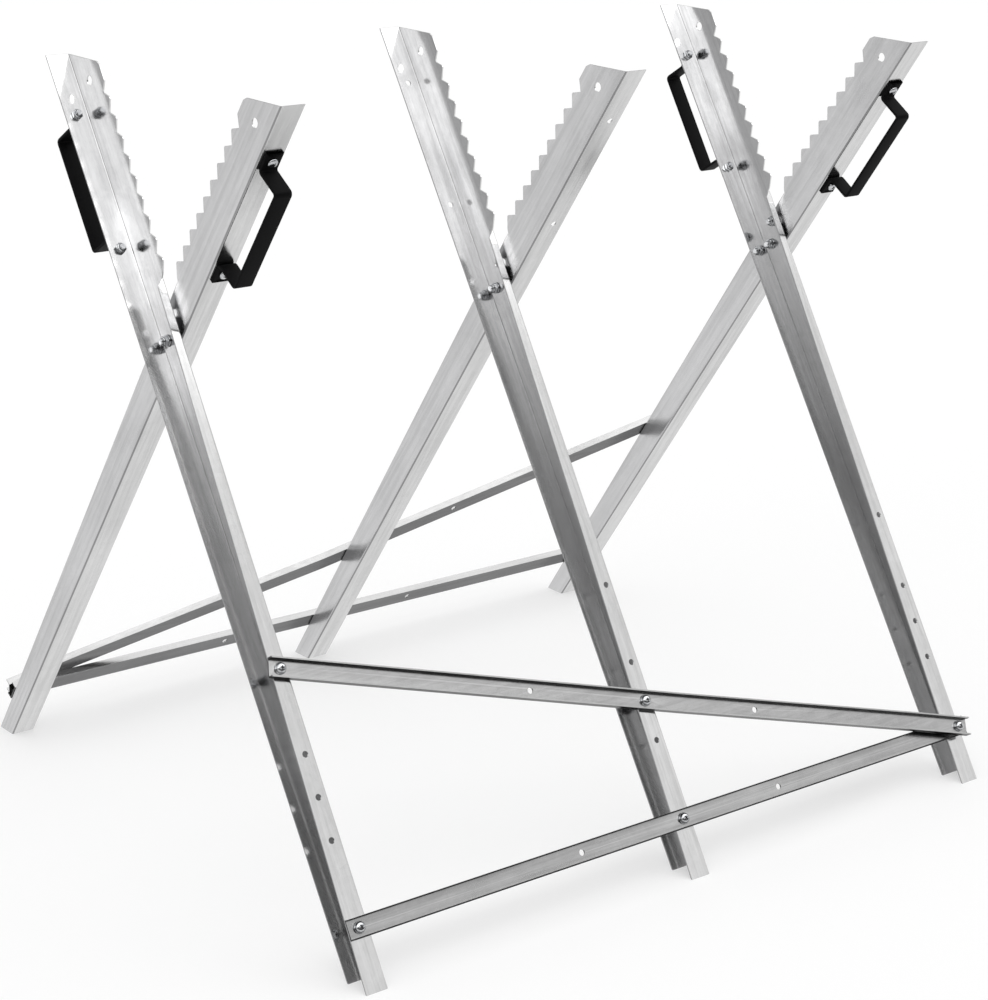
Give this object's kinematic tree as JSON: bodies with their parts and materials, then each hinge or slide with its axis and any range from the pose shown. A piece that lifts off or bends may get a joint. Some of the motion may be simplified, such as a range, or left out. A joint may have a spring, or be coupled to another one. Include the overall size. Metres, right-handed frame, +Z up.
{
  "type": "folding sawhorse",
  "caption": "Folding steel sawhorse: crossed, toothed sheet-metal legs on pivot bolts form a V cradle for logs, braced by bolted bars and lifted by bow handles.",
  "frame": {"origin": "middle of the footprint, on the floor the open feet stand on", "axes": "+X along the log towards the frame with the lock bolt, -Y to the front, +Z up; drawn standing open"},
  "size_m": [0.8762, 0.739, 0.787],
  "materials": {
    "galvanised_leg": "hot-dip galvanised sheet, dull with fine mottling",
    "galvanised_bar": "galvanised sheet, satin",
    "black_coating": "black powder coat, satin",
    "zinc_fastener": "bright zinc plating"
  },
  "bodies": {
    "front_frame": {"front_leg_left": "galvanised_leg", "front_leg_middle": "galvanised_leg", "front_leg_right": "galvanised_leg", "front_rail": "galvanised_bar", "front_brace": "galvanised_bar", "front_handle_left": "black_coating", "front_handle_right": "black_coating", "pivot_bolt_left": "zinc_fastener", "pivot_bolt_middle": "zinc_fastener", "pivot_bolt_right": "zinc_fastener", "pivot_nuts": "zinc_fastener", "pivot_front_washers": "zinc_fastener", "pivot_gap_washers": "zinc_fastener", "lock_bolt": "zinc_fastener", "lock_nut": "zinc_fastener", "lock_washer": "zinc_fastener", "front_bar_bolts": "zinc_fastener", "front_bar_washers": "zinc_fastener", "front_bar_nuts": "zinc_fastener", "front_handle_screws": "zinc_fastener", "front_handle_nuts": "zinc_fastener"},
    "rear_frame": {"rear_leg_left": "galvanised_leg", "rear_leg_middle": "galvanised_leg", "rear_leg_right": "galvanised_leg", "rear_rail": "galvanised_bar", "rear_brace": "galvanised_bar", "rear_handle_left": "black_coating", "rear_handle_right": "black_coating", "rear_bar_bolts": "zinc_fastener", "rear_bar_washers": "zinc_fastener", "rear_bar_nuts": "zinc_fastener", "rear_handle_screws": "zinc_fastener", "rear_handle_nuts": "zinc_fastener"}
  },
  "joints": [
    {"name": "fold", "type": "hinge", "parent": "front_frame", "child": "rear_frame", "pos_m": [0, 0, 0.535], "axis": [-1, 0, 0], "range_deg": [0, 66]}
  ]
}
